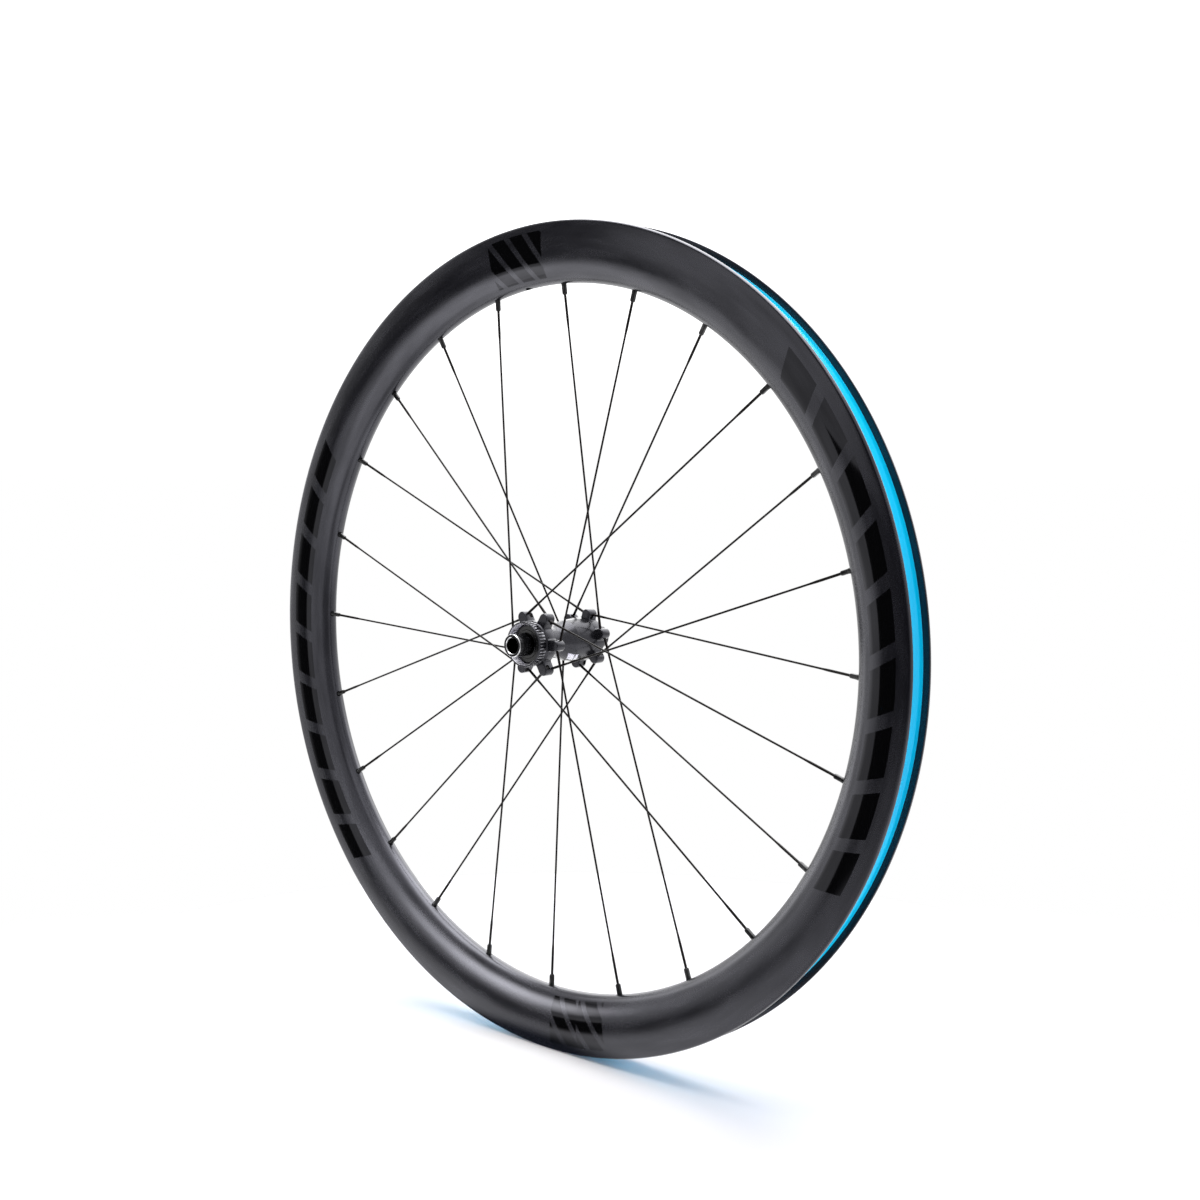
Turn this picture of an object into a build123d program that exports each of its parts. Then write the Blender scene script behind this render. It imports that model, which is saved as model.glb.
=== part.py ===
from build123d import *
import os
from math import acos, atan, cos, degrees, radians, sin, tan

os.makedirs("parts", exist_ok=True)

# Front road wheel for a disc brake. The wheel's centre is the origin, the axle lies along Y
# with the brake disc's side at +Y, Z is up and X points forward.
# Driving dimensions, in millimetres and degrees.

# Rim
BEAD_SEAT_DIA = 622.0
LIP_HEIGHT = 5.75
LIP_WIDTH = 26.4
INNER_WIDTH = 20.6
RIM_DEPTH = 45.5
RIM_WIDTH = 28.0
WIDEST_BELOW_LIP = 16.75
WELL_WIDTH = 9.0
WELL_DEPTH = 3.0
BED_WALL = 2.0
SIDE_WALL = 2.0
NOSE_WALL = 3.2
NOSE_FLOOR_WIDTH = 8.4
SPOKE_BED_WIDTH = 6.4
FLANK_ANGLES = (0.0, 30.0, 58.0)
VALVE_ANGLE = 84.0
VALVE_HOLE_DIA = 6.5

# Rim tape
TAPE_THICKNESS = 0.4
TAPE_EDGE_GAP = 0.1
TAPE_HOLE_MARGIN = 0.5

# Lacing
SPOKE_COUNT = 24
LOBE_TO_NIPPLE = 75.0
SPOKE_STAGGER = 1.75
SIDES = 6

# Spokes
SPOKE_BUTT_DIA = 2.0
SPOKE_MIDDLE_DIA = 1.5
SPOKE_HEAD_DIA = 3.4
SPOKE_HEAD_LENGTH = 1.6
SPOKE_HUB_TAPER = 16.0
SPOKE_RIM_TAPER = 8.0
SPOKE_RIM_BUTT = 18.0
SPOKE_CLEARANCE = 0.1

# Nipples
NIPPLE_SQUARE = 3.3
NIPPLE_EXPOSED = 8.2
NIPPLE_HEAD_DIA = 5.6
NIPPLE_HEAD_LENGTH = 2.6
NIPPLE_SEAT_GAP = 0.45
NIPPLE_HOLE_DIA = 5.2
NIPPLE_THREAD_GAP = 0.05

# Hub shell
LOBES = 6
LOBE_WIDTH = 8.4
LOBE_TIP_SIDES = 8
FLANGE_WIDTH = 8.8
FLANGE_ROOT_DIA = 34.0
DISC_FLANGE_Y = 24.2
DISC_SPOKE_OFFSET = 22.0
PLAIN_FLANGE_Y = -30.2
PLAIN_SPOKE_OFFSET = 19.6
HEAD_SEAT_DEPTH = 2.2
NECK_DIA = 21.6
NECK_END_Y = 5.0
SHOULDER_Y = -8.0
SPLINE_COUNT = 44
SPLINE_DIA = 34.6
SPLINE_DEPTH = 0.8
SPLINE_GAP = 1.1
SPLINE_LENGTH = 7.4
SPLINE_END_Y = 38.4
LOCK_THREAD_DIA = 30.4
LOCK_THREAD_LENGTH = 7.0
PLAIN_END_LENGTH = 3.6
PLAIN_END_DIA = 30.0

# Bearings and axle
BEARING_OD = 26.0
BEARING_ID = 17.0
BEARING_WIDTH = 5.0
RACE_DIA = 21.6
RACE_CLEARANCE = 0.08
RING_SIDE_GAP = 0.3
AXLE_WALL = 1.0
AXLE_CLEARANCE = 0.6

# End caps
HUB_SPACING = 100.0
AXLE_BORE_DIA = 12.1
CAP_DIA = 17.4
SHIELD_DIA = 27.6
SHIELD_EDGE = 1.2
SHIELD_INSET = 1.2
SHIELD_GAP = 0.5
CAP_SPIGOT_LENGTH = 6.0
CAP_COLLAR_DIA = 20.0

# Sizes worked out from those above
seat_radius = BEAD_SEAT_DIA / 2
outer_radius = seat_radius + LIP_HEIGHT
bed_radius = outer_radius - RIM_DEPTH
widest_radius = outer_radius - WIDEST_BELOW_LIP
well_radius = seat_radius - WELL_DEPTH
nose_floor_radius = bed_radius + NOSE_WALL
spoke_pitch = 360 / SPOKE_COUNT
valve_direction = Vector(cos(radians(VALVE_ANGLE)), 0, sin(radians(VALVE_ANGLE)))
disc_bearing_out = SPLINE_END_Y - LOCK_THREAD_LENGTH
disc_bearing_in = disc_bearing_out - BEARING_WIDTH
plain_end_y = PLAIN_FLANGE_Y - FLANGE_WIDTH / 2 - PLAIN_END_LENGTH
plain_bearing_in = plain_end_y + BEARING_WIDTH


class Spoke:
    """Where one spoke runs: its plane stands at the spoke's foot, with Z towards the rim."""

    def __init__(self, index):
        self.disc_side = index % 2 == 0
        turn = -1 if index % 4 < 2 else 1
        outward = 1 if self.disc_side else -1
        flange_y = DISC_FLANGE_Y if self.disc_side else PLAIN_FLANGE_Y
        offset = DISC_SPOKE_OFFSET if self.disc_side else PLAIN_SPOKE_OFFSET
        rim_angle = VALVE_ANGLE - (index + 0.5) * spoke_pitch
        lean = degrees(acos(offset / bed_radius))
        foot_angle = radians(rim_angle + turn * lean)
        foot_y = flange_y - turn * outward * SPOKE_STAGGER
        foot = Vector(offset * cos(foot_angle), foot_y, offset * sin(foot_angle))
        rim_point = Vector(bed_radius * cos(radians(rim_angle)), 0, bed_radius * sin(radians(rim_angle)))
        direction = (rim_point - foot).normalized()
        past_lobe = radians(lean - LOBE_TO_NIPPLE)
        lobe_middle = offset * tan(past_lobe)
        self.lobe_radius = offset / cos(past_lobe)
        self.length = (rim_point - foot).length
        self.head_seat = lobe_middle - LOBE_WIDTH / 2 / cos(past_lobe) + HEAD_SEAT_DEPTH
        self.lobe_exit = lobe_middle + LOBE_WIDTH / cos(past_lobe)
        self.lobe_angle = rim_angle + turn * LOBE_TO_NIPPLE
        self.plane = Plane(origin=foot, x_dir=direction.cross(Vector(0, 1, 0)), z_dir=direction)


spokes = [Spoke(index) for index in range(SPOKE_COUNT)]
disc_spokes = [spoke for spoke in spokes if spoke.disc_side]
plain_spokes = [spoke for spoke in spokes if not spoke.disc_side]

# Rim: a hollow section turned about the axle, with holes along the spokes and for the valve.
# Its flank steps along an oval from the widest place to the flat bed of the spokes.
flank = []
for angle in FLANK_ANGLES:
    flank_radius = widest_radius - (widest_radius - bed_radius) * sin(radians(angle))
    flank.append((flank_radius, RIM_WIDTH / 2 * cos(radians(angle))))
half_section = [
    (well_radius, WELL_WIDTH / 2),
    (seat_radius, INNER_WIDTH / 2),
    (outer_radius, INNER_WIDTH / 2),
    (outer_radius, LIP_WIDTH / 2),
    *flank,
    (bed_radius, SPOKE_BED_WIDTH / 2),
]
with BuildPart() as rim:
    with BuildSketch(Plane.XY):
        with BuildLine():
            Polyline(*half_section, *[(r, -y) for r, y in reversed(half_section)], close=True)
        make_face()
        with BuildLine():
            Polyline(
                (nose_floor_radius, NOSE_FLOOR_WIDTH / 2),
                (well_radius - BED_WALL, RIM_WIDTH / 2 - SIDE_WALL),
                (well_radius - BED_WALL, SIDE_WALL - RIM_WIDTH / 2),
                (nose_floor_radius, -NOSE_FLOOR_WIDTH / 2),
                close=True,
            )
        make_face(mode=Mode.SUBTRACT)
    revolve(axis=Axis.Y)
    for spoke in spokes:
        with BuildSketch(spoke.plane.offset(spoke.length - NOSE_WALL)):
            RegularPolygon(NIPPLE_HOLE_DIA / 2, SIDES, major_radius=False)
    extrude(amount=3 * NOSE_WALL, mode=Mode.SUBTRACT)
    with BuildSketch(Plane(origin=valve_direction * (bed_radius - LIP_HEIGHT), z_dir=valve_direction)):
        Circle(VALVE_HOLE_DIA / 2)
    extrude(amount=RIM_DEPTH, mode=Mode.SUBTRACT)
rim.part.label = "rim"
export_step(rim.part, "parts/rim.step")

# Rim tape: a strip from bead seat to bead seat, open at the valve hole
with BuildPart() as rim_tape:
    with BuildSketch(Plane.XY):
        with Locations((seat_radius + TAPE_THICKNESS / 2, 0)):
            Rectangle(TAPE_THICKNESS, INNER_WIDTH - 2 * TAPE_EDGE_GAP)
    revolve(axis=Axis.Y)
    with BuildSketch(Plane(origin=valve_direction * well_radius, z_dir=valve_direction)):
        Circle(VALVE_HOLE_DIA / 2 + TAPE_HOLE_MARGIN)
    extrude(amount=WELL_DEPTH + LIP_HEIGHT, mode=Mode.SUBTRACT)
rim_tape.part.label = "rim_tape"
export_step(rim_tape.part, "parts/rim_tape.step")

# Spokes: a head in the hub lobe, a thin middle and a thick end in the nipple, drawn six-sided
hub_taper = degrees(atan((SPOKE_BUTT_DIA - SPOKE_MIDDLE_DIA) / 2 / SPOKE_HUB_TAPER))
rim_taper = degrees(atan((SPOKE_BUTT_DIA - SPOKE_MIDDLE_DIA) / 2 / SPOKE_RIM_TAPER))
for side, group in (("disc", disc_spokes), ("plain", plain_spokes)):
    for number, line in enumerate(group, start=1):
        rim_butt_start = line.length - NIPPLE_EXPOSED - SPOKE_RIM_BUTT
        rim_taper_start = rim_butt_start - SPOKE_RIM_TAPER
        hub_taper_start = line.lobe_exit
        spoke_end = line.length + NOSE_WALL
        with BuildPart() as spoke:
            with BuildSketch(line.plane.offset(line.head_seat)):
                RegularPolygon(SPOKE_HEAD_DIA / 2, SIDES, major_radius=False)
            extrude(amount=-SPOKE_HEAD_LENGTH)
            with BuildSketch(line.plane.offset(line.head_seat)):
                RegularPolygon(SPOKE_BUTT_DIA / 2, SIDES, major_radius=False)
            extrude(amount=hub_taper_start - line.head_seat)
            with BuildSketch(line.plane.offset(hub_taper_start)):
                RegularPolygon(SPOKE_BUTT_DIA / 2, SIDES, major_radius=False)
            extrude(amount=SPOKE_HUB_TAPER, taper=hub_taper)
            with BuildSketch(line.plane.offset(hub_taper_start + SPOKE_HUB_TAPER)):
                RegularPolygon(SPOKE_MIDDLE_DIA / 2, SIDES, major_radius=False)
            extrude(amount=rim_taper_start - hub_taper_start - SPOKE_HUB_TAPER)
            with BuildSketch(line.plane.offset(rim_taper_start)):
                RegularPolygon(SPOKE_MIDDLE_DIA / 2, SIDES, major_radius=False)
            extrude(amount=SPOKE_RIM_TAPER, taper=-rim_taper)
            with BuildSketch(line.plane.offset(rim_butt_start)):
                RegularPolygon(SPOKE_BUTT_DIA / 2, SIDES, major_radius=False)
            extrude(amount=spoke_end - rim_butt_start)
        spoke.part.label = f"spoke_{side}_{number:02d}"
        export_step(spoke.part, f"parts/spoke_{side}_{number:02d}.step")

# Nipples: a square shank for the key outside the rim and a head on the floor of the rim's nose
for side, group in (("disc", disc_spokes), ("plain", plain_spokes)):
    with BuildPart() as nipples:
        for line in group:
            head_start = line.length + NOSE_WALL + NIPPLE_SEAT_GAP
            with BuildSketch(line.plane.offset(line.length - NIPPLE_EXPOSED)):
                Rectangle(NIPPLE_SQUARE, NIPPLE_SQUARE)
                RegularPolygon(
                    SPOKE_BUTT_DIA / 2 + NIPPLE_THREAD_GAP, SIDES, major_radius=False, mode=Mode.SUBTRACT
                )
            extrude(amount=head_start - line.length + NIPPLE_EXPOSED)
            with BuildSketch(line.plane.offset(head_start)):
                RegularPolygon(NIPPLE_HEAD_DIA / 2, SIDES, major_radius=False)
            extrude(amount=NIPPLE_HEAD_LENGTH)
    nipples.part.label = f"nipples_{side}_side"
    export_step(nipples.part, f"parts/nipples_{side}_side.step")

# Hub shell: a turned body with six lobes on each flange, a splined ring, bores and spoke holes
disc_flange_out = DISC_FLANGE_Y + FLANGE_WIDTH / 2
disc_flange_in = DISC_FLANGE_Y - FLANGE_WIDTH / 2
plain_flange_in = PLAIN_FLANGE_Y + FLANGE_WIDTH / 2
plain_flange_out = PLAIN_FLANGE_Y - FLANGE_WIDTH / 2
with BuildPart() as hub_shell:
    with BuildSketch(Plane.XY):
        with BuildLine():
            Polyline(
                (0, SPLINE_END_Y),
                (SPLINE_DIA / 2 - SPLINE_DEPTH, SPLINE_END_Y),
                (SPLINE_DIA / 2 - SPLINE_DEPTH, disc_flange_out),
                (FLANGE_ROOT_DIA / 2, disc_flange_out),
                (FLANGE_ROOT_DIA / 2, disc_flange_in),
                (NECK_DIA / 2, disc_flange_in),
                (NECK_DIA / 2, NECK_END_Y),
                (FLANGE_ROOT_DIA / 2, SHOULDER_Y),
                (FLANGE_ROOT_DIA / 2, plain_flange_out),
                (PLAIN_END_DIA / 2, plain_flange_out),
                (PLAIN_END_DIA / 2, plain_end_y),
                (0, plain_end_y),
                close=True,
            )
        make_face()
    revolve(axis=Axis.Y)
    with BuildSketch(Plane.XZ.offset(-SPLINE_END_Y)):
        Circle(SPLINE_DIA / 2)
        with PolarLocations(SPLINE_DIA / 2, SPLINE_COUNT):
            Rectangle(2 * SPLINE_DEPTH, SPLINE_GAP, mode=Mode.SUBTRACT)
    extrude(amount=SPLINE_LENGTH)
    for line, flange_y in ((disc_spokes[0], DISC_FLANGE_Y), (plain_spokes[0], PLAIN_FLANGE_Y)):
        with BuildSketch(Plane.XZ.offset(-flange_y)):
            with PolarLocations(0, LOBES, start_angle=line.lobe_angle):
                Rectangle(line.lobe_radius, LOBE_WIDTH, align=(Align.MIN, Align.CENTER))
            with PolarLocations(line.lobe_radius, LOBES, start_angle=line.lobe_angle):
                RegularPolygon(
                    LOBE_WIDTH / 2, LOBE_TIP_SIDES, major_radius=False, rotation=180 / LOBE_TIP_SIDES
                )
        extrude(amount=FLANGE_WIDTH / 2, both=True)
    with BuildSketch(Plane.XY):
        with BuildLine():
            Polyline(
                (0, SPLINE_END_Y),
                (LOCK_THREAD_DIA / 2, SPLINE_END_Y),
                (LOCK_THREAD_DIA / 2, disc_bearing_out),
                (BEARING_OD / 2, disc_bearing_out),
                (BEARING_OD / 2, disc_bearing_in),
                (BEARING_ID / 2 + AXLE_CLEARANCE, disc_bearing_in),
                (BEARING_ID / 2 + AXLE_CLEARANCE, plain_bearing_in),
                (BEARING_OD / 2, plain_bearing_in),
                (BEARING_OD / 2, plain_end_y),
                (0, plain_end_y),
                close=True,
            )
        make_face()
    revolve(axis=Axis.Y, mode=Mode.SUBTRACT)
    for line in spokes:
        with BuildSketch(line.plane.offset(line.head_seat)):
            RegularPolygon(SPOKE_HEAD_DIA / 2 + SPOKE_CLEARANCE, SIDES, major_radius=False)
    extrude(amount=-2 * HEAD_SEAT_DEPTH, mode=Mode.SUBTRACT)
    for line in spokes:
        with BuildSketch(line.plane.offset(line.head_seat)):
            RegularPolygon(SPOKE_BUTT_DIA / 2 + SPOKE_CLEARANCE, SIDES, major_radius=False)
    extrude(amount=2 * LOBE_WIDTH, mode=Mode.SUBTRACT)
hub_shell.part.label = "hub_shell"
export_step(hub_shell.part, "parts/hub_shell.step")

# Sealed bearings: outer rings held by the hub shell, inner rings on the axle tube
race_radius = RACE_DIA / 2 + RACE_CLEARANCE
with BuildPart() as bearing_outer_rings:
    with BuildSketch(Plane.XY):
        with Locations((race_radius, disc_bearing_in), (race_radius, plain_end_y)):
            Rectangle(BEARING_OD / 2 - race_radius, BEARING_WIDTH, align=Align.MIN)
    revolve(axis=Axis.Y)
bearing_outer_rings.part.label = "bearing_outer_rings"
export_step(bearing_outer_rings.part, "parts/bearing_outer_rings.step")

with BuildPart() as bearing_inner_rings:
    with BuildSketch(Plane.XY):
        with Locations((BEARING_ID / 2, disc_bearing_in + RING_SIDE_GAP), (BEARING_ID / 2, plain_end_y)):
            Rectangle(RACE_DIA / 2 - BEARING_ID / 2, BEARING_WIDTH - RING_SIDE_GAP, align=Align.MIN)
    revolve(axis=Axis.Y)
bearing_inner_rings.part.label = "bearing_inner_rings"
export_step(bearing_inner_rings.part, "parts/bearing_inner_rings.step")

# Axle tube: it carries the inner rings and takes the spigots of the end caps
with BuildPart() as axle_tube:
    with BuildSketch(Plane.XY):
        with Locations((BEARING_ID / 2 - AXLE_WALL, plain_end_y)):
            Rectangle(AXLE_WALL, disc_bearing_out - plain_end_y, align=Align.MIN)
    revolve(axis=Axis.Y)
axle_tube.part.label = "axle_tube"
export_step(axle_tube.part, "parts/axle_tube.step")

# End caps: each has a bore for the wheel axle, a dust shield and a spigot in the axle tube
with BuildPart() as end_caps:
    for outward, shield_y, tube_end in (
        (1, SPLINE_END_Y - SHIELD_INSET, disc_bearing_out),
        (-1, plain_end_y - SHIELD_GAP - SHIELD_EDGE, plain_end_y),
    ):
        shield_back = shield_y - outward * SHIELD_EDGE
        spigot_end = tube_end - outward * CAP_SPIGOT_LENGTH
        with BuildSketch(Plane.XY):
            with BuildLine():
                Polyline(
                    (AXLE_BORE_DIA / 2, outward * HUB_SPACING / 2),
                    (CAP_DIA / 2, outward * HUB_SPACING / 2),
                    (CAP_DIA / 2, shield_y),
                    (SHIELD_DIA / 2, shield_y),
                    (SHIELD_DIA / 2, shield_back),
                    (CAP_COLLAR_DIA / 2, shield_back),
                    (CAP_COLLAR_DIA / 2, tube_end),
                    (BEARING_ID / 2 - AXLE_WALL, tube_end),
                    (BEARING_ID / 2 - AXLE_WALL, spigot_end),
                    (AXLE_BORE_DIA / 2, spigot_end),
                    close=True,
                )
            make_face()
        revolve(axis=Axis.Y)
end_caps.part.label = "end_caps"
export_step(end_caps.part, "parts/end_caps.step")
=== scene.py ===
from collections import namedtuple
from math import acos, atan2, cos, degrees, hypot, pi, radians, sin, sqrt, tan

import bmesh
import bpy
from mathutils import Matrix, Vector


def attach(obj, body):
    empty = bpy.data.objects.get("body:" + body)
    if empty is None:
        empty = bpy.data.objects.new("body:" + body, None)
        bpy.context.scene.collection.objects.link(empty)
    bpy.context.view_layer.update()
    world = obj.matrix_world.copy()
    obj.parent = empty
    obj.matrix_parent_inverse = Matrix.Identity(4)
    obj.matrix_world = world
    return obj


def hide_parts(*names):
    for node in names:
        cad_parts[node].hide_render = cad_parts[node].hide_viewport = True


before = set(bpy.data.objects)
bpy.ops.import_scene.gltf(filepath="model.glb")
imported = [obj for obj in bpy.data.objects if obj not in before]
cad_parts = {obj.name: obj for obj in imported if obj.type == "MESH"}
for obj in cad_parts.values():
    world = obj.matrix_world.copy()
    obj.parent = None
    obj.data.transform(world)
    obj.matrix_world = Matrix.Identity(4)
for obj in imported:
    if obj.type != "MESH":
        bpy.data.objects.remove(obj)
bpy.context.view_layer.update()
scene = bpy.context.scene
MM = 0.001

# Sizes of the part, in millimetres and degrees, as in its source
RIM_OUT = 316.75
RIM_BED = 271.25
RIM_WIDEST = 300.0
RIM_HALF = 14.0
LIP_HALF = 13.2
INNER_HALF = 10.3
SEAT = 311.0
WELL = 308.0
WELL_HALF = 4.5
VALVE_ANGLE = 84.0
VALVE_HOLE = 3.25
SPOKE_COUNT = 24
SPOKE_PITCH = 360 / SPOKE_COUNT
SPOKE_BUTT = 1.0
SPOKE_MIDDLE = 0.75
LOBE_TO_NIPPLE = 75.0
STAGGER = 1.75
LOBES = 6
LOBE_HALF = 4.2
LOBE_FILLET = 1.6
FLANGE_HALF = 4.4
FLANGE_EDGE = 0.9
ROOT = 17.0
DISC_Y = 24.2
DISC_OFFSET = 22.0
PLAIN_Y = -30.2
PLAIN_OFFSET = 19.6
HEAD_SEAT_DEPTH = 2.2
NIPPLE_EXPOSED = 8.2
NOSE_WALL = 3.2
SPLINES = 44
SPLINE_END = 38.4
SPLINE_LENGTH = 7.4
PLAIN_END = -38.2
HUB_HALF = 50.0

# Sizes of detail that the looks add, in millimetres
LIP_ROUND = 2.0
LIP_EDGE = 0.6
NIPPLE_HOLE = 2.45
TAPE_THICKNESS = 0.3
TAPE_TOP = 0.35
TAPE_GAP = 0.15
TAPE_DIP = 1.7
TAPE_DIP_HALF = 6.8
TAPE_RISE = 0.5
TAPE_RISE_FROM = 9.2
TAPE_RISE_WIDTH = 0.95
HEAD_HOLE = 1.85
SPOKE_BORE = 1.12
COLLAR = 1.2
THREAD_STEP = 0.45
THREAD_TURNS = 7

# How finely round forms are cut
RIM_SEGMENTS = 480
HUB_SEGMENTS = 128
CAP_SEGMENTS = 96
SPOKE_SIDES = 18
NIPPLE_SIDES = 24
NOSE_STEPS = 40
SIDE_STEPS = 8
TAPE_STEPS = 24
FLOOR_SIDES = 96


# Mesh helpers

def rounded(corners, steps=5):
    """Closed outline from (x, y, radius) corners, with an arc at each corner that has a radius."""
    out = []
    for i, (x, y, radius) in enumerate(corners):
        here = Vector((x, y))
        if not radius:
            out.append((x, y))
            continue
        before = (Vector(corners[i - 1][:2]) - here).normalized()
        after = (Vector(corners[(i + 1) % len(corners)][:2]) - here).normalized()
        half = before.angle(after) / 2
        centre = here + (before + after).normalized() * radius / sin(half)
        start = here + before * radius / tan(half) - centre
        end = here + after * radius / tan(half) - centre
        a = atan2(start.y, start.x)
        turn = (atan2(end.y, end.x) - a + pi) % (2 * pi) - pi
        for k in range(steps + 1):
            b = a + turn * k / steps
            out.append((centre.x + radius * cos(b), centre.y + radius * sin(b)))
    return out


def lathe(profile, segments):
    """Closed (radius, y) profile turned about the Y axis."""
    m = len(profile)
    verts = []
    for i in range(segments):
        a = 2 * pi * i / segments
        verts += [(r * cos(a), y, r * sin(a)) for r, y in profile]
    faces = []
    for i in range(segments):
        j = (i + 1) % segments
        for k in range(m):
            n = (k + 1) % m
            faces.append((i * m + k, i * m + n, j * m + n, j * m + k))
    return verts, faces


def loft(rings, capped=True):
    """Skin through rings of equal point counts, closed by flat caps."""
    m = len(rings[0])
    verts = [p for ring in rings for p in ring]
    faces = []
    for i in range(len(rings) - 1):
        for k in range(m):
            n = (k + 1) % m
            faces.append((i * m + k, i * m + n, (i + 1) * m + n, (i + 1) * m + k))
    if capped:
        faces.append(tuple(range(m)))
        faces.append(tuple(range((len(rings) - 1) * m, len(rings) * m)))
    return verts, faces


def merge(*parts):
    """Several (verts, faces) as one."""
    verts, faces = [], []
    for v, f in parts:
        faces += [tuple(i + len(verts) for i in face) for face in f]
        verts += v
    return verts, faces


def dress(obj, materials, sharp, pick=None):
    """Outward normals, smooth shading up to an angle and materials, by face where pick says so."""
    mesh = obj.data
    bm = bmesh.new()
    bm.from_mesh(mesh)
    bmesh.ops.recalc_face_normals(bm, faces=bm.faces)
    bm.to_mesh(mesh)
    bm.free()
    mesh.polygons.foreach_set("use_smooth", [True] * len(mesh.polygons))
    mesh.set_sharp_from_angle(angle=radians(sharp))
    mesh.materials.clear()
    for m in materials:
        mesh.materials.append(m)
    if pick:
        for p in mesh.polygons:
            p.material_index = pick(p.center / MM, p.normal)


def piece(name, geometry, body, materials, nodes=(), sharp=32, pick=None):
    """Mesh object in the shared frame from millimetre geometry, on a body and in place of CAD nodes if named."""
    mesh = bpy.data.meshes.new(name)
    verts, faces = geometry
    mesh.from_pydata([(x * MM, y * MM, z * MM) for x, y, z in verts], [], faces)
    obj = bpy.data.objects.new(name, mesh)
    scene.collection.objects.link(obj)
    dress(obj, materials, sharp, pick)
    if body:
        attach(obj, body)
    if nodes:
        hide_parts(*nodes)
    return obj


def carve(obj, geometry):
    """Cuts closed solids, given in millimetres, out of a mesh object."""
    cutter = piece("cutter", geometry, None, [])
    cut = obj.modifiers.new("cut", "BOOLEAN")
    cut.operation = "DIFFERENCE"
    cut.solver = "EXACT"
    cut.object = cutter
    bpy.context.view_layer.update()
    mesh = bpy.data.meshes.new_from_object(obj.evaluated_get(bpy.context.evaluated_depsgraph_get()))
    obj.modifiers.clear()
    obj.data = mesh
    bpy.data.objects.remove(cutter)


# Node helpers

def bare_tree(owner):
    """The emptied node tree of a material or a world."""
    owner.use_nodes = True
    owner.node_tree.nodes.clear()
    return owner.node_tree


def material(name):
    m = bpy.data.materials.new(name)
    tree = bare_tree(m)
    shader = tree.nodes.new("ShaderNodeBsdfPrincipled")
    out = tree.nodes.new("ShaderNodeOutputMaterial")
    tree.links.new(shader.outputs[0], out.inputs[0])
    return m, tree, shader


def feed(tree, n, key, value):
    if isinstance(value, bpy.types.NodeSocket):
        tree.links.new(value, n.inputs[key])
    else:
        n.inputs[key].default_value = value


def node(tree, kind, inputs, **settings):
    """One node with its settings. An input is a value or the socket that feeds it."""
    n = tree.nodes.new("ShaderNode" + kind)
    for key, value in settings.items():
        setattr(n, key, value)
    for key, value in inputs.items():
        feed(tree, n, key, value)
    return n


def calc(tree, operation, *values):
    return node(tree, "Math", dict(enumerate(values)), operation=operation).outputs[0]


def times(tree, a, b):
    return calc(tree, "MULTIPLY", a, b)


def without(tree, mask):
    """One less a mask."""
    return calc(tree, "SUBTRACT", 1.0, mask)


def noise(tree, vector, scale, detail):
    n = node(tree, "TexNoise", {"Vector": vector, "Scale": scale, "Detail": detail, "Roughness": 0.5})
    return n.outputs["Fac"]


def spread(tree, value, low, high):
    """A noise value's middle range stretched to the range low to high."""
    inputs = {"Value": value, "From Min": 0.3, "From Max": 0.7, "To Min": low, "To Max": high}
    return node(tree, "MapRange", inputs).outputs[0]


def ramp(tree, value, start, end):
    """A smooth step from zero at start to one at end."""
    inputs = {"Value": value, "From Min": start, "From Max": end}
    return node(tree, "MapRange", inputs, interpolation_type="SMOOTHSTEP").outputs[0]


def blend(tree, factor, a, b):
    n = tree.nodes.new("ShaderNodeMix")
    n.data_type = "RGBA"
    for key, value in ((0, factor), (6, a), (7, b)):
        feed(tree, n, key, value)
    return n.outputs[2]


def bump(tree, height, depth):
    """Bump whose full height is depth, in millimetres."""
    return node(tree, "Bump", {"Strength": 1.0, "Distance": depth * MM, "Height": height}).outputs[0]


def vector3(tree, x, y, z):
    return node(tree, "CombineXYZ", {0: x, 1: y, 2: z}).outputs[0]


def tinted(tree, tone, colour):
    """A colour made lighter and darker by a tone."""
    parts = [times(tree, tone, c) for c in colour]
    return node(tree, "CombineColor", dict(enumerate(parts))).outputs[0]


Place = namedtuple("Place", "vector y reach around")


def place(tree):
    """The point on the part in millimetres: vector, y, distance from the axle and angle round it."""
    coord = node(tree, "TexCoord", {}).outputs["Object"]
    vector = node(tree, "VectorMath", {0: coord, 3: 1 / MM}, operation="SCALE").outputs[0]
    axes = node(tree, "SeparateXYZ", {0: vector}).outputs
    squares = [calc(tree, "POWER", axes[i], 2.0) for i in (0, 2)]
    reach = calc(tree, "SQRT", calc(tree, "ADD", *squares))
    return Place(vector, axes[1], reach, calc(tree, "ARCTAN2", axes[2], axes[0]))


def from_valve(tree, around):
    """The angle round the axle, counted from the valve."""
    return calc(tree, "WRAP", calc(tree, "SUBTRACT", around, radians(VALVE_ANGLE)), pi, -pi)


# Materials

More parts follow.
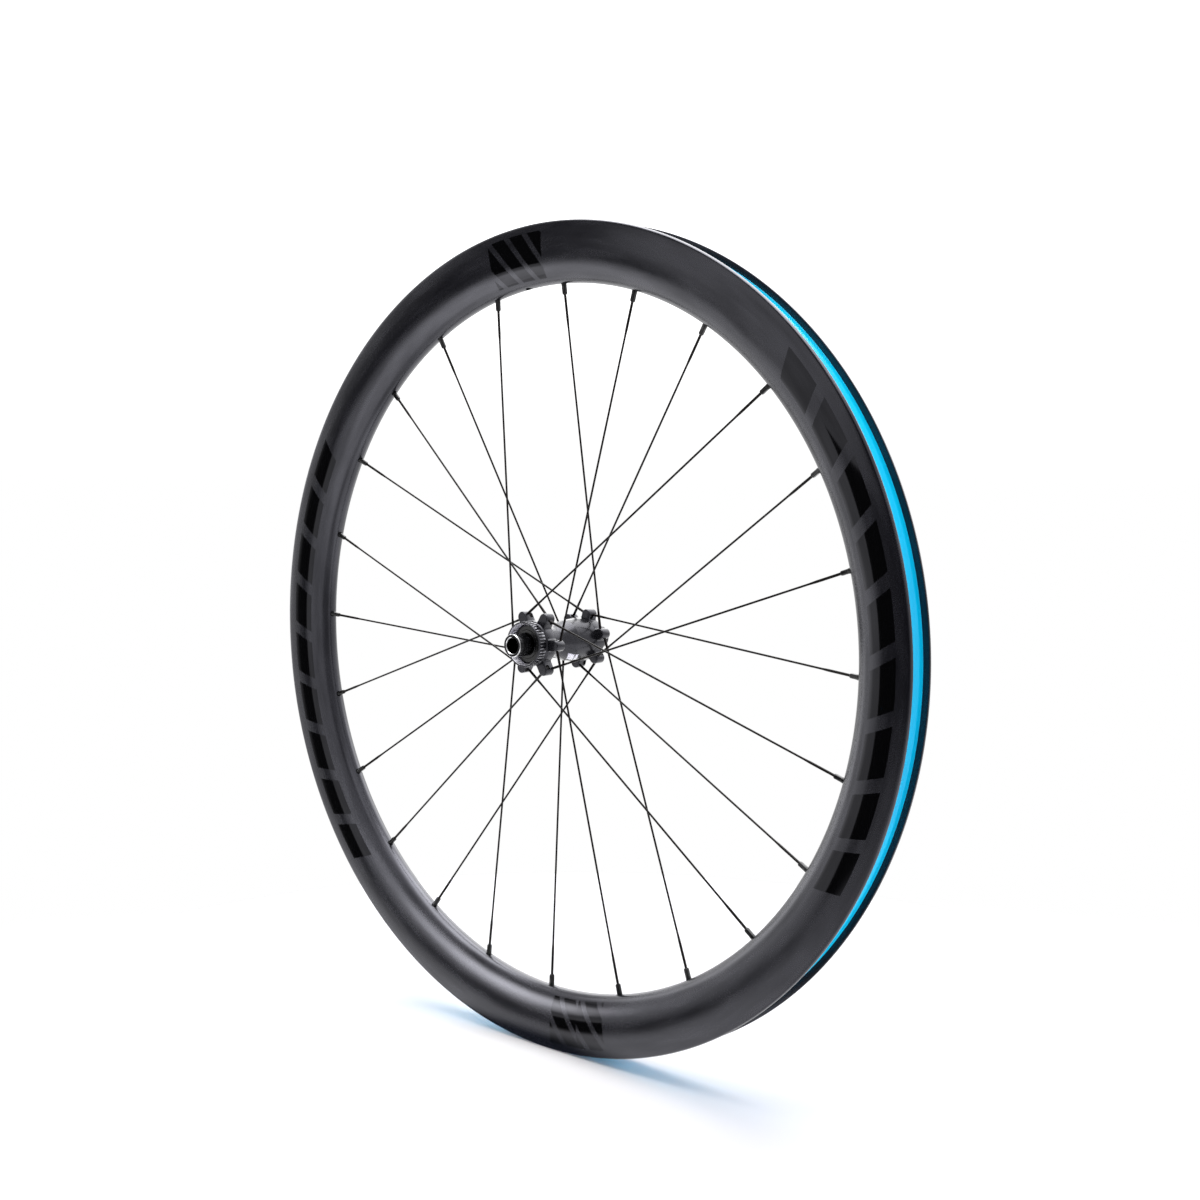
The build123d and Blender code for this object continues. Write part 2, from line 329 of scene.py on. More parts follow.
def printed_fields(t, turn, reach):
    """Mask of the glossy fields: a block by the valve and one across from it, and slanted bars between them."""
    block_mid, block_reach, block_angle = 293.0, 17.5, 5.3
    stripe_lean, stripe_start, stripe_pitch, stripe_half = 0.7, 4.5, 9.0, 2.6
    row_mid, row_reach, row_half = 296.0, 10.0, 193.0
    bar_lean, bar_pitch, bar_half = 0.5, 21.5, 16.5
    away = calc(t, "ABSOLUTE", turn)
    fold = calc(t, "PINGPONG", away, pi / 2)
    inside = times(t, calc(t, "LESS_THAN", fold, radians(block_angle)),
                   calc(t, "COMPARE", reach, block_mid, block_reach))
    lean = calc(t, "ADD", times(t, turn, block_mid),
                times(t, calc(t, "SUBTRACT", reach, block_mid), stripe_lean))
    stripe_way = calc(t, "PINGPONG", calc(t, "SUBTRACT", lean, stripe_start), stripe_pitch)
    block = times(t, inside, without(t, calc(t, "LESS_THAN", stripe_way, stripe_half)))
    run = times(t, calc(t, "SUBTRACT", away, pi / 2), row_mid)
    slant = calc(t, "ADD", run, times(t, calc(t, "SUBTRACT", reach, row_mid), bar_lean))
    bar = calc(t, "LESS_THAN", calc(t, "PINGPONG", slant, bar_pitch), bar_half)
    row = times(t, calc(t, "COMPARE", slant, 0.0, row_half), calc(t, "COMPARE", reach, row_mid, row_reach))
    return calc(t, "MAXIMUM", block, times(t, bar, row))


def rim_finish():
    """Matte fibre composite with glossy black fields on its sides."""
    fibre_tone, field_colour = 0.0035, (0.0012, 0.0012, 0.0014, 1)
    field_rough, field_height, relief = 0.07, 1.6, 0.006
    sheen_sides, sheen_channel, sheen_field = 0.7, -0.12, 0.34
    channel_half, channel_floor = 10.45, 306.0
    m, t, s = material("rim_composite")
    p = place(t)
    turn = from_valve(t, p.around)
    arc = times(t, turn, RIM_WIDEST)

    def drawn(along, across, detail):
        """Noise drawn out along the hoop."""
        stretched = vector3(t, times(t, arc, along), times(t, p.y, across), times(t, p.reach, across))
        return noise(t, stretched, 1.0, detail)

    strands = drawn(0.05, 2.2, 4.0)
    plies = drawn(0.02, 0.12, 3.0)
    grain = noise(t, p.vector, 1.6, 3.0)
    fields = printed_fields(t, turn, p.reach)
    bare = without(t, fields)
    tone = times(t, spread(t, strands, 0.75, 1.3), spread(t, plies, 0.8, 1.2))
    fibre = tinted(t, times(t, tone, fibre_tone), (1.0, 1.0, 1.5))
    feed(t, s, "Base Color", blend(t, fields, fibre, field_colour))
    matte = calc(t, "ADD", spread(t, grain, 0.22, 0.28), spread(t, plies, -0.03, 0.03))
    feed(t, s, "Roughness", calc(t, "ADD", times(t, matte, bare), times(t, fields, field_rough)))
    rough = times(t, calc(t, "ADD", strands, grain), bare)
    feed(t, s, "Normal", bump(t, calc(t, "ADD", rough, times(t, fields, field_height)), relief))
    channel = times(t, calc(t, "LESS_THAN", calc(t, "ABSOLUTE", p.y), channel_half),
                    calc(t, "GREATER_THAN", p.reach, channel_floor))
    sheen = calc(t, "SUBTRACT", calc(t, "MULTIPLY_ADD", channel, sheen_channel, sheen_sides),
                 times(t, fields, sheen_field))
    feed(t, s, "Specular IOR Level", times(t, sheen, spread(t, plies, 0.8, 1.2)))
    s.inputs["Specular Tint"].default_value = (0.89, 0.89, 1.0, 1)
    return m


def tape_finish():
    """Glossy blue film with fine threads along it."""
    deep, pale, relief = (0.0, 0.61, 0.90, 1), (0.001, 0.71, 1.0, 1), 0.03
    m, t, s = material("tape_film")
    p = place(t)
    arc = times(t, from_valve(t, p.around), SEAT)
    threads = noise(t, vector3(t, times(t, arc, 0.03), times(t, p.y, 1.6), 0.0), 1.0, 3.0)
    cloud = noise(t, vector3(t, times(t, arc, 0.02), times(t, p.y, 0.1), 0.0), 1.0, 2.0)
    tone = spread(t, calc(t, "ADD", times(t, threads, 0.4), times(t, cloud, 0.6)), 0.0, 1.0)
    feed(t, s, "Base Color", blend(t, tone, deep, pale))
    feed(t, s, "Roughness", spread(t, cloud, 0.16, 0.26))
    feed(t, s, "Normal", bump(t, calc(t, "ADD", threads, cloud), relief))
    s.inputs["Specular IOR Level"].default_value = 0.22
    return m


def white_bars(t, p):
    """Mask of two slanted bars low on the hub's body."""
    lean, start, shift, pitch, gap_half, field_half = 6.0, 20.0, 1.7, 3.4, 0.55, 5.2
    mid, reach = radians(-126), radians(13)
    slant = calc(t, "MULTIPLY_ADD", p.around, lean, calc(t, "ADD", p.y, start))
    bars = calc(t, "GREATER_THAN", calc(t, "PINGPONG", calc(t, "ADD", slant, shift), pitch), gap_half)
    field = times(t, calc(t, "COMPARE", slant, 0.0, field_half), calc(t, "COMPARE", p.around, mid, reach))
    return times(t, bars, field)


def coated(name, colour, metal, low, high, scale, depth, gloss=0.5, marked=False):
    """Dark coated metal with a fine grain. A marked one has white bars printed on it."""
    m, t, s = material(name)
    p = place(t)
    fine = noise(t, p.vector, scale, 3.0)
    broad = noise(t, p.vector, scale * 0.12, 2.0)
    tone = times(t, spread(t, fine, 0.85, 1.18), spread(t, broad, 0.92, 1.08))
    base = tinted(t, tone, colour)
    s.inputs["Metallic"].default_value = metal
    if marked:
        ink = white_bars(t, p)
        base = blend(t, ink, base, (0.80, 0.80, 0.81, 1))
        feed(t, s, "Metallic", calc(t, "MULTIPLY_ADD", ink, -metal, metal))
    feed(t, s, "Base Color", base)
    feed(t, s, "Roughness", calc(t, "ADD", spread(t, fine, low, high), spread(t, broad, -0.02, 0.02)))
    feed(t, s, "Normal", bump(t, fine, depth))
    s.inputs["Specular IOR Level"].default_value = gloss
    return m


def turned(name, colour, low, high, pitch, depth, metal=1.0):
    """Machined metal with fine rings round the axle."""
    m, t, s = material(name)
    p = place(t)
    stretched = vector3(t, times(t, p.around, 0.6), times(t, p.y, 1 / pitch), times(t, p.reach, 1 / pitch))
    rings = noise(t, stretched, 1.0, 3.0)
    broad = noise(t, p.vector, 0.15, 2.0)
    tone = times(t, spread(t, rings, 0.85, 1.1), spread(t, broad, 0.92, 1.06))
    feed(t, s, "Base Color", tinted(t, tone, colour))
    feed(t, s, "Roughness", spread(t, rings, low, high))
    feed(t, s, "Normal", bump(t, rings, depth))
    s.inputs["Metallic"].default_value = metal
    return m


HUB_COLOUR = (0.036, 0.036, 0.041)
RIM = rim_finish()
TAPE = tape_finish()
SPOKE = coated("spoke_black", (0.006, 0.0045, 0.004), 0.0, 0.24, 0.36, 2.5, 0.006, 0.11)
NIPPLE = coated("nipple_black", (0.004, 0.004, 0.0045), 0.0, 0.16, 0.28, 2.0, 0.006, 0.3)
HUB = coated("hub_satin", HUB_COLOUR, 0.8, 0.19, 0.26, 3.0, 0.003)
HUB_BODY = coated("hub_body_satin", HUB_COLOUR, 0.8, 0.19, 0.26, 3.0, 0.003, marked=True)
CAP = turned("cap_black", (0.022, 0.022, 0.024), 0.10, 0.18, 0.25, 0.003)
SEAL = coated("shield_black", (0.003, 0.003, 0.0034), 0.0, 0.14, 0.24, 2.0, 0.004)
THREAD = turned("thread_alloy", (0.88, 0.88, 0.90), 0.38, 0.55, 0.3, 0.01, 0.3)
BARE = turned("bare_alloy", (0.72, 0.72, 0.74), 0.14, 0.28, 0.2, 0.004)
TOOTH = turned("tooth_edges", (0.22, 0.22, 0.24), 0.20, 0.32, 0.3, 0.004)
AXLE = turned("axle_alloy", (0.50, 0.50, 0.52), 0.25, 0.40, 0.3, 0.006)
STEEL = turned("bearing_steel", (0.56, 0.56, 0.58), 0.12, 0.24, 0.2, 0.004)


# Where the spokes run

class Spoke:
    """One spoke's line from its foot beside the axle to the rim's inner edge."""

    def __init__(self, index):
        self.disc = index % 2 == 0
        self.number = index // 2 + 1
        turn = -1 if index % 4 < 2 else 1
        outward = 1 if self.disc else -1
        flange_y = DISC_Y if self.disc else PLAIN_Y
        offset = DISC_OFFSET if self.disc else PLAIN_OFFSET
        rim_angle = VALVE_ANGLE - (index + 0.5) * SPOKE_PITCH
        lean = degrees(acos(offset / RIM_BED))
        a = radians(rim_angle + turn * lean)
        b = radians(rim_angle)
        self.foot = Vector((offset * cos(a), flange_y - turn * outward * STAGGER, offset * sin(a)))
        rim_end = Vector((RIM_BED * cos(b), 0, RIM_BED * sin(b)))
        self.along = (rim_end - self.foot).normalized()
        self.across = self.along.cross(Vector((0, 1, 0))).normalized()
        self.up = self.along.cross(self.across)
        self.length = (rim_end - self.foot).length
        past = radians(lean - LOBE_TO_NIPPLE)
        self.head_seat = offset * tan(past) - LOBE_HALF / cos(past) + HEAD_SEAT_DEPTH
        self.lobe_exit = offset * tan(past) + 2 * LOBE_HALF / cos(past)
        self.lobe_radius = offset / cos(past)
        self.lobe_angle = rim_angle + turn * LOBE_TO_NIPPLE

    def ring(self, at, radius, sides, square=0.0):
        """Points round the spoke's line. A square half width flattens the ring to a four-sided one."""
        out = []
        for k in range(sides):
            a = 2 * pi * k / sides
            r = min(radius, square / max(abs(cos(a)), abs(sin(a)))) if square else radius
            out.append(tuple(self.foot + self.along * at + self.across * (r * cos(a)) + self.up * (r * sin(a))))
        return out

    def rod(self, start, end, radius, sides=20):
        return loft([self.ring(start, radius, sides), self.ring(end, radius, sides)])


spokes = [Spoke(i) for i in range(SPOKE_COUNT)]
SIDES = (("disc", [s for s in spokes if s.disc], DISC_Y), ("plain", [s for s in spokes if not s.disc], PLAIN_Y))

# Rim: an oval nose, side walls that draw in to the lips, bead seats and a well between them
nose = []
for k in range(NOSE_STEPS + 1):
    a = pi * k / NOSE_STEPS
    nose.append((RIM_WIDEST - (RIM_WIDEST - RIM_BED) * sin(a), RIM_HALF * cos(a)))
side = []
for k in range(1, SIDE_STEPS):
    u = k / SIDE_STEPS
    side.append((RIM_WIDEST + (RIM_OUT - LIP_ROUND - RIM_WIDEST) * u, RIM_HALF - (RIM_HALF - LIP_HALF) * u * u))
half_channel = [
    (RIM_WIDEST, -LIP_HALF, 0),
    (RIM_OUT, -LIP_HALF, LIP_ROUND),
    (RIM_OUT, -INNER_HALF, LIP_EDGE),
    (SEAT, -INNER_HALF, 0.9),
    (SEAT - 0.4, -WELL_HALF - 1.6, 0.8),
    (WELL, -WELL_HALF, 1.2),
]
channel = rounded(half_channel + [(r, -y, fillet) for r, y, fillet in reversed(half_channel)], 4)[1:-1]
rim_profile = nose + [(r, -y) for r, y in side] + channel + side[::-1]
rim = piece("rim_hoop", lathe(rim_profile, RIM_SEGMENTS), "wheel", [RIM], ["rim"])
valve = Vector((cos(radians(VALVE_ANGLE)), 0, sin(radians(VALVE_ANGLE))))


def valve_rod(start, end, radius, sides=32):
    axle_way = Vector((0, 1, 0))
    side_way = valve.cross(axle_way)
    rings = []
    for at in (start, end):
        ring = []
        for k in range(sides):
            a = 2 * pi * k / sides
            ring.append(tuple(valve * at + side_way * radius * cos(a) + axle_way * radius * sin(a)))
        rings.append(ring)
    return loft(rings)


holes = [s.rod(s.length - 4, s.length + 6, NIPPLE_HOLE) for s in spokes]
carve(rim, merge(valve_rod(RIM_BED - 5, RIM_OUT + 5, VALVE_HOLE), *holes))
dress(rim, [RIM], 32)

# Tape: a film that lies on the seats, dips over the well and turns up a little at the walls
upper = []
for k in range(TAPE_STEPS + 1):
    y = (INNER_HALF - TAPE_GAP) * (2 * k / TAPE_STEPS - 1)
    dip = TAPE_DIP * max(0.0, 1 - (y / TAPE_DIP_HALF) ** 2) ** 1.5
    rise = TAPE_RISE * max(0.0, (abs(y) - TAPE_RISE_FROM) / TAPE_RISE_WIDTH) ** 2
    upper.append((SEAT + TAPE_TOP - dip + rise, y))
tape_profile = upper + [(r - TAPE_THICKNESS, y) for r, y in reversed(upper)]
tape = piece("tape_strip", lathe(tape_profile, RIM_SEGMENTS), "wheel", [TAPE], ["rim_tape"],
             sharp=60)
carve(tape, valve_rod(WELL - 2, RIM_OUT + 2, VALVE_HOLE + 0.5))
dress(tape, [TAPE], 60)

# Spokes: round, thick at both ends, with a mushroom head in the hub
HEAD = [
    (-1.6, 0.9), (-1.45, 1.35), (-1.1, 1.62), (-0.6, 1.7),
    (-0.15, 1.6), (0, 1.35), (0.25, 1.05), (0.6, SPOKE_BUTT),
]
HUB_TAPER = [(0, SPOKE_BUTT), (4, 0.96), (12, 0.79), (16, SPOKE_MIDDLE)]
RIM_TAPER = [(-8, SPOKE_MIDDLE), (-6, 0.79), (-2, 0.96), (0, SPOKE_BUTT)]
RIM_BUTT = 18
for s in spokes:
    butt = s.length - NIPPLE_EXPOSED - RIM_BUTT
    stations = [(s.head_seat + at, r) for at, r in HEAD]
    stations += [(s.lobe_exit + at, r) for at, r in HUB_TAPER]
    stations += [(butt + at, r) for at, r in RIM_TAPER]
    stations.append((s.length + 2, SPOKE_BUTT))
    shape = loft([s.ring(at, r, SPOKE_SIDES) for at, r in stations])
    name = f"spoke_{'disc' if s.disc else 'plain'}_{s.number:02d}"
    piece("round_" + name, shape, "wheel", [SPOKE], [name], sharp=50)

# Nipples: square flats for a key, a round foot that passes into the rim and a head inside it
NIPPLE_STATIONS = [
    (-NIPPLE_EXPOSED, 1.2, 0), (-NIPPLE_EXPOSED + 0.1, 1.5, 0), (-7.7, 1.75, 1.6), (-7.2, 1.98, 1.65),
    (-2.6, 1.98, 1.65), (-2.1, 2.0, 1.85), (-1.7, 2.05, 0),
    (NOSE_WALL, 2.05, 0), (NOSE_WALL + 0.6, 2.7, 0), (NOSE_WALL + 2.6, 2.7, 0),
]
for side_name, group, _ in SIDES:
    shapes = [loft([s.ring(s.length + at, r, NIPPLE_SIDES, square) for at, r, square in NIPPLE_STATIONS])
              for s in group]
    piece(f"square_nipples_{side_name}", merge(*shapes), "wheel", [NIPPLE],
          [f"nipples_{side_name}_side"], sharp=38)


# Hub shell: turned body, lobed flanges, splined ring

def flange_outline(lobe_radius, start):
    """A round root with six lobes, each with straight sides, a round tip and a fillet at its foot."""
    reach = LOBE_HALF + LOBE_FILLET
    foot = sqrt((ROOT + LOBE_FILLET) ** 2 - reach ** 2)
    join = atan2(reach, foot)
    half_pitch = pi / LOBES
    half = []
    for k in range(6):
        a = half_pitch - (half_pitch - join) * k / 6
        half.append((ROOT * cos(a), ROOT * sin(a)))
    for k in range(7):
        a = join + pi + (pi / 2 - join) * k / 6
        half.append((foot + LOBE_FILLET * cos(a), reach + LOBE_FILLET * sin(a)))
    for k in range(1, 4):
        half.append((foot + (lobe_radius - foot) * k / 3, LOBE_HALF))
    for k in range(1, 11):
        a = pi / 2 - pi / 2 * k / 10
        half.append((lobe_radius + LOBE_HALF * cos(a), LOBE_HALF * sin(a)))
    lobe = half + [(x, -y) for x, y in reversed(half[1:-1])]
    out = []
    for n in range(LOBES):
        a = radians(start) + 2 * pi * n / LOBES
        out += [(x * cos(a) - y * sin(a), x * sin(a) + y * cos(a)) for x, y in reversed(lobe)]
    return out


def inset(outline, by):
    """The outline moved inwards along its own normals."""
    out = []
    n = len(outline)
    for i, (x, z) in enumerate(outline):
        before, after = outline[i - 1], outline[(i + 1) % n]
        tx, tz = after[0] - before[0], after[1] - before[1]
        size = hypot(tx, tz)
        out.append((x - tz / size * by, z + tx / size * by))
    return out


def ring_plate(outline, inner, low, high, edge, steps=4):
    """A plate with that outline, rounded edges and a round hole, between two heights along Y."""
    n = len(outline)
    turns = [pi / 2 * k / steps for k in range(steps + 1)]
    hole = [(inner * cos(atan2(z, x)), inner * sin(atan2(z, x))) for x, z in outline]
    rings = [[(x, low, z) for x, z in hole]]
    for a in turns:
        rings.append([(x, low + edge * (1 - cos(a)), z) for x, z in inset(outline, edge * (1 - sin(a)))])
    for a in turns:
        rings.append([(x, high - edge * (1 - sin(a)), z) for x, z in inset(outline, edge * (1 - cos(a)))])
    rings.append([(x, high, z) for x, z in hole])
    verts, faces = loft(rings, capped=False)
    last = (len(rings) - 1) * n
    for k in range(n):
        j = (k + 1) % n
        faces.append((k, j, last + j, last + k))
    return verts, faces


body_profile = rounded([
    (15.9, SPLINE_END, 0), (17.1, SPLINE_END, 0.35), (17.1, SPLINE_END - 1.3, 0.2),
    (16.5, SPLINE_END - 1.5, 0), (16.5, 31.2, 0), (15.9, 30.7, 0.3), (15.9, 29.3, 0.3), (16.9, 28.3, 0),
    (16.9, 19.85, 0), (10.8, 19.85, 2.2), (10.8, 6.0, 9.0), (15.7, -6.5, 10.0), (16.9, -25.6, 0),
    (16.9, -34.5, 0), (15.0, -34.7, 0.6), (15.0, PLAIN_END, 0.5), (13.0, PLAIN_END, 0.2),
    (13.0, -33.2, 0), (9.1, -33.2, 0), (9.1, 26.4, 0), (13.0, 26.4, 0), (13.0, 31.4, 0),
    (15.95, 31.4, 0), (15.95, SPLINE_END - 0.8, 0),
], 6)
piece("hub_body", lathe(body_profile, HUB_SEGMENTS), "wheel", [HUB_BODY], ["hub_shell"], sharp=35)
for side_name, group, flange_y in SIDES:
    outline = flange_outline(group[0].lobe_radius, group[0].lobe_angle)
    plate = ring_plate(outline, 12.0, flange_y - FLANGE_HALF, flange_y + FLANGE_HALF, FLANGE_EDGE)
    flange = piece(f"hub_flange_{side_name}", plate, "wheel", [HUB], ["hub_shell"], sharp=35)
    seats = [s.rod(s.head_seat - 6, s.head_seat, HEAD_HOLE) for s in group]
    bores = [s.rod(s.head_seat - 0.5, s.lobe_exit + 8, SPOKE_BORE) for s in group]
    carve(flange, merge(*seats))
    carve(flange, merge(*bores))
    dress(flange, [HUB], 35)

# Spline: one tooth as angle in degrees and radius, repeated round the ring behind a smooth collar
TOOTH_FORM = (
    (-1.9, 16.5), (-1.55, 17.05), (-1.25, 17.3), (1.25, 17.3),
    (1.55, 17.05), (1.9, 16.5), (3.0, 16.45), (5.2, 16.45),
)
TOOTH_TOP = 17.12
tooth = []
for n in range(SPLINES):
    for degree, r in TOOTH_FORM:
        a = 2 * pi * n / SPLINES + radians(degree)
        tooth.append((r * cos(a), r * sin(a)))
ring = ring_plate(tooth, 16.2, SPLINE_END - SPLINE_LENGTH, SPLINE_END - COLLAR, 0.25, 2)
piece("brake_disc_spline", ring, "wheel", [HUB, TOOTH], ["hub_shell"], sharp=30,
      pick=lambda c, normal: int(hypot(c.x, c.z) > TOOTH_TOP and abs(normal.y) < 0.5))

# Thread for the lock ring: bare grooves inside the splined ring
thread = [(15.4, 31.5)]
for k in range(2 * THREAD_TURNS):
    thread.append((15.2 if k % 2 == 0 else 15.4, 31.7 + k * THREAD_STEP))
thread += [(15.85, SPLINE_END - 0.1), (15.95, SPLINE_END - 0.1), (15.95, 31.5)]
piece("lock_ring_thread", lathe(thread, HUB_SEGMENTS), "wheel", [THREAD], sharp=20)

# End caps: a black barrel with bare chamfers and a stepped dust shield
CAP_BORE, CAP_RADIUS, CAP_FACE, CHAMFER = 6.05, 8.7, 8.2, 0.5


def cap_material(centre, normal):
    """Bare metal on the two chamfers, black seal on the shield and a dark barrel between them."""
    r = hypot(centre.x, centre.z)
    if HUB_HALF - abs(centre.y) < CHAMFER and (r < CAP_BORE + 0.55 or CAP_FACE < r < CAP_RADIUS):
        return 1
    return 2 if r > 9.0 else 0


CAPS = (("disc", 1, SPLINE_END - 4.6, 31.4), ("plain", -1, PLAIN_END - 1.7, PLAIN_END))
for side_name, outward, shield, tube in CAPS:
    end = outward * HUB_HALF
    chamfer_end = outward * (HUB_HALF - CHAMFER)
    step = shield + outward * 0.5
    back = shield - outward * 1.2
    inner_end = tube - outward * 6
    corners = [
        (CAP_BORE + CHAMFER, end, 0), (CAP_FACE, end, 0), (CAP_RADIUS, chamfer_end, 0),
        (CAP_RADIUS, step, 0.4), (10.6, step, 0.2), (11.0, shield, 0.15), (13.8, shield, 0.3),
        (13.8, back, 0.2), (10.0, back, 0), (10.0, tube, 0), (7.5, tube, 0), (7.5, inner_end, 0.3),
        (CAP_BORE, inner_end, 0.3), (CAP_BORE, chamfer_end, 0),
    ]
    piece(f"cap_{side_name}", lathe(rounded(corners, 4), CAP_SEGMENTS), "axle", [CAP, BARE, SEAL],
          ["end_caps"], sharp=30, pick=cap_material)

# Solids kept as they are
for name, finish in (("axle_tube", AXLE), ("bearing_inner_rings", STEEL), ("bearing_outer_rings", STEEL)):
    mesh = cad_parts[name].data
    mesh.materials.clear()
    mesh.materials.append(finish)


# Floor: a plain white disc. Mirrors see the surroundings' own lower half instead of it

def stage_plate(name, points):
    """A flat piece of the stage with an empty material: the object and its node tree."""
    mesh = bpy.data.meshes.new(name)
    mesh.from_pydata(points, [], [tuple(range(len(points)))])
    obj = bpy.data.objects.new(name, mesh)
    scene.collection.objects.link(obj)
    look = bpy.data.materials.new(name)
    mesh.materials.append(look)
    return obj, bare_tree(look)


def eye_rays(tree, seen):
    """One for rays from the camera or through clear things, from a light path's outputs."""
    return calc(tree, "MAXIMUM", seen["Is Camera Ray"], seen["Is Transmission Ray"])


FLOOR_Z = -RIM_OUT * MM
FLOOR_REACH = 0.55
FLOOR_WHITE = (0.92, 0.92, 0.92, 1)
FLOOR_TINT, TINT_LEVEL = (1.0, 0.6, 0.6, 1), 0.012
corners = [2 * pi * k / FLOOR_SIDES for k in range(FLOOR_SIDES)]
floor, t = stage_plate("floor", [(FLOOR_REACH * cos(a), FLOOR_REACH * sin(a), FLOOR_Z) for a in corners])
eye = eye_rays(t, node(t, "LightPath", {}).outputs)
white = node(t, "BsdfDiffuse", {"Color": FLOOR_WHITE})
tint = node(t, "Emission", {"Color": FLOOR_TINT, "Strength": times(t, eye, TINT_LEVEL)})
both = node(t, "AddShader", {0: white.outputs[0], 1: tint.outputs[0]})
t.links.new(both.outputs[0], node(t, "OutputMaterial", {}).inputs[0])
floor.visible_glossy = False

# Painted contact shadow: a dim bluish patch at the wheel's foot that stands in for the floor's shadow as the
# rim's lips mirror it. Nothing else sees it
SHADOW_PATCH_AT = (0.03, 0.012)
SHADOW_PATCH_REACH = (0.16, 0.034)
SHADOW_PATCH_LIFT = 0.0002
# colour and strength of the painted shadow
PAINTED_SHADOW_COLOUR, PAINTED_SHADOW_LEVEL = (0.55, 0.7, 1.0, 1), 0.1
corners = [(x * SHADOW_PATCH_REACH[0], y * SHADOW_PATCH_REACH[1], 0.0) for x, y in ((-1, -1), (1, -1), (1, 1), (-1, 1))]
painted_shadow_patch, t = stage_plate("painted_shadow_patch", corners)
painted_shadow_patch.location = (*SHADOW_PATCH_AT, FLOOR_Z + SHADOW_PATCH_LIFT)
spot = node(t, "SeparateXYZ", {0: node(t, "TexCoord", {}).outputs["Object"]}).outputs
squares = [calc(t, "POWER", calc(t, "DIVIDE", spot[i], SHADOW_PATCH_REACH[i]), 2.0) for i in (0, 1)]
# painted shadow: full in the middle of the patch, fading to clear towards its edge
depth = ramp(t, calc(t, "SQRT", calc(t, "ADD", *squares)), 1.0, 0.35)
shadow_glow = node(t, "Emission", {"Color": PAINTED_SHADOW_COLOUR, "Strength": PAINTED_SHADOW_LEVEL})
clear = node(t, "BsdfTransparent", {})
shadow_mix = node(t, "MixShader", {0: depth, 1: clear.outputs[0], 2: shadow_glow.outputs[0]})
t.links.new(shadow_mix.outputs[0], node(t, "OutputMaterial", {}).inputs[0])
for ray in ("camera", "diffuse", "transmission", "volume_scatter", "shadow"):
    setattr(painted_shadow_patch, "visible_" + ray, False)


# Studio: a white room as mirrors see it, with a dark gap between the screens, a dim place round the camera,
# a bright screen behind the wheel, a bright ceiling and the floor's mirror image below.
# Diffuse surfaces get a cool fill instead, from above, from the wheel's rear and low from behind it.
# The camera sees plain white

def window(tree, way, sides, levels):
    """One inside a patch of the surroundings. Compass angles in degrees and heights run out, in, in, out."""
    axes = node(tree, "SeparateXYZ", {0: way}).outputs
    compass = calc(tree, "ARCTAN2", axes[1], axes[0])
    edges = []
    for value, (a, b, c, d) in ((compass, [radians(v) for v in sides]), (axes[2], levels)):
        edges += [ramp(tree, value, a, b), ramp(tree, value, d, c)]
    return times(tree, times(tree, edges[0], edges[1]), times(tree, edges[2], edges[3]))


FILL_ABOVE, FILL_REAR, FILL_BEHIND = 0.1, -3.3, 3.4
FILL_COLOUR = (0.76, 0.73, 0.95, 1)
GAP_DEPTH, STAND_DEPTH = -0.98, -0.65
FLOOR_GAIN, SHADE_DEPTH = 0.75, -0.5
SCREEN_GAIN, CEILING_GAIN = 3.0, 4.0
world = bpy.data.worlds.new("studio")
scene.world = world
t = bare_tree(world)
way = node(t, "TexCoord", {}).outputs["Generated"]
axes = node(t, "SeparateXYZ", {0: way}).outputs
seen = node(t, "LightPath", {}).outputs
eye = eye_rays(t, seen)
diffuse = seen["Is Diffuse Ray"]
gap = window(t, way, (29, 37, 112, 122), (-0.33, -0.25, 0.6, 0.8))
stand = window(t, way, (112, 124, 150, 165), (-0.6, -0.4, 0.3, 0.45))
dimmed = times(t, calc(t, "MULTIPLY_ADD", gap, GAP_DEPTH, 1.0),
               calc(t, "MULTIPLY_ADD", stand, STAND_DEPTH, 1.0))
below = ramp(t, axes[2], -0.25, -0.33)
shade = window(t, way, (54, 66, 120, 135), (-1.2, -1.1, -0.33, -0.25))
ground = times(t, calc(t, "MULTIPLY_ADD", below, FLOOR_GAIN, 1.0),
               calc(t, "MULTIPLY_ADD", shade, SHADE_DEPTH, 1.0))
screen = window(t, way, (-140, -110, -45, -8), (0.0, 0.4, 0.8, 0.95))
ceiling = ramp(t, axes[2], 0.80, 0.90)
above = calc(t, "MULTIPLY_ADD", ceiling, CEILING_GAIN, times(t, screen, SCREEN_GAIN))
mirrored = times(t, calc(t, "ADD", above, times(t, dimmed, ground)), without(t, diffuse))
overhead = times(t, calc(t, "MAXIMUM", axes[2], 0.0), FILL_ABOVE)
low = calc(t, "MAXIMUM", calc(t, "MULTIPLY_ADD", calc(t, "ABSOLUTE", axes[2]), -2.0, 1.0), 0.0)
rear = times(t, calc(t, "MAXIMUM", times(t, axes[0], FILL_REAR), 0.0), low)
behind = window(t, way, (-120, -100, -30, -10), (0.02, 0.12, 0.45, 0.6))
fill = times(t, diffuse, calc(t, "MULTIPLY_ADD", behind, FILL_BEHIND, calc(t, "ADD", overhead, rear)))
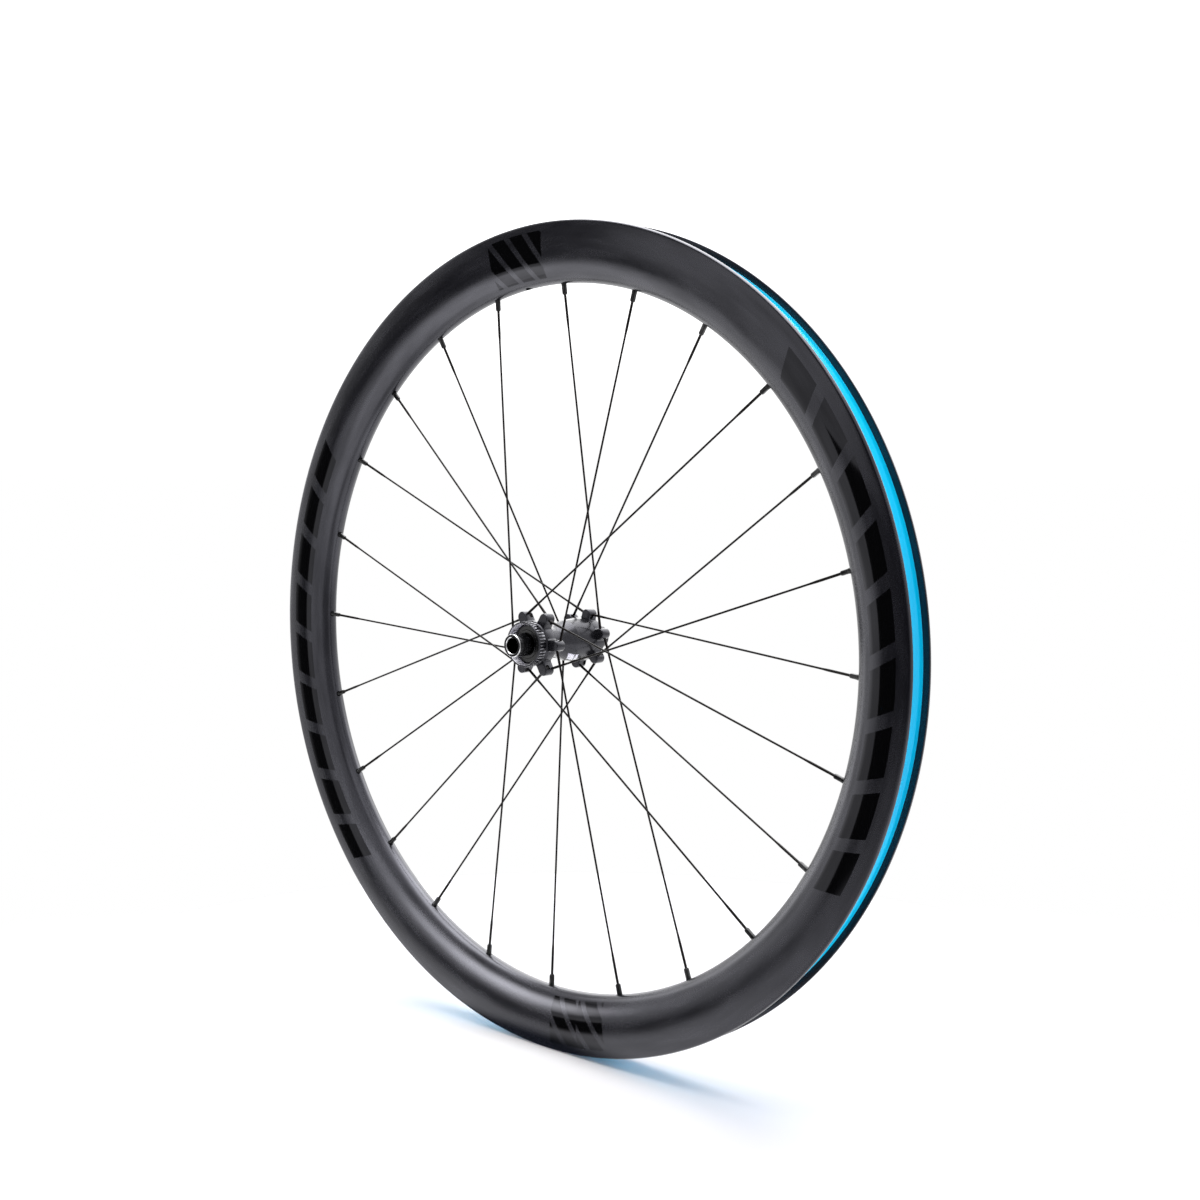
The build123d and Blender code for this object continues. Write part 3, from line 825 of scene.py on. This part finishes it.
level = calc(t, "MAXIMUM", calc(t, "MAXIMUM", mirrored, eye), fill)
colour = blend(t, diffuse, (1, 1, 1, 1), FILL_COLOUR)
background = node(t, "Background", {"Color": colour, "Strength": level})
t.links.new(background.outputs[0], node(t, "OutputWorld", {}).inputs[0])


def soft_box(name, at, towards, width, height, power, beam=180):
    """A rectangular lamp that the camera doesn't see. Metres, watts and the beam's full angle in degrees."""
    lamp = bpy.data.lights.new(name, "AREA")
    lamp.shape = "RECTANGLE"
    lamp.size = width
    lamp.size_y = height
    lamp.energy = power
    lamp.spread = radians(beam)
    obj = bpy.data.objects.new(name, lamp)
    scene.collection.objects.link(obj)
    obj.location = at
    obj.rotation_mode = "QUATERNION"
    obj.rotation_quaternion = (Vector(towards) - Vector(at)).to_track_quat("-Z", "Y")
    obj.visible_camera = False


soft_box("left_box", (2.0, 0.1, 0.45), (0, 0, -0.1), 1.0, 1.6, 10.0)
soft_box("top_box", (0.4, -0.3, 4.0), (0.2, 0, 0), 4.3, 4.3, 200.0)
soft_box("card", (0.34, 0.44, -0.083), (0.34, 0, -0.083), 0.475, 0.466, 0.64)
soft_box("upper_card", (0.09, 0.44, 0.33), (0.09, 0, 0.33), 0.42, 0.36, 0.45)
soft_box("low_key", (0.42, 0.44, -0.13), (0.095, 0, -0.30), 0.16, 0.37, 0.075, 31)

# Camera at the photograph's place
AZIMUTH, ELEVATION, DISTANCE = radians(221.445), radians(3.97), 1.18092
target = Vector((-0.04342, 0, 0.03358))
back_way = Vector((sin(AZIMUTH) * cos(ELEVATION), -cos(AZIMUTH) * cos(ELEVATION), sin(ELEVATION)))
lens = bpy.data.cameras.new("camera")
lens.lens = 47.26
lens.sensor_width = 36.0
lens.clip_start = 0.01
lens.clip_end = 100.0
camera = bpy.data.objects.new("camera", lens)
scene.collection.objects.link(camera)
camera.location = target + back_way * DISTANCE
camera.rotation_mode = "QUATERNION"
camera.rotation_quaternion = (-back_way).to_track_quat("-Z", "Y")
scene.camera = camera
scene.view_settings.view_transform = "Standard"
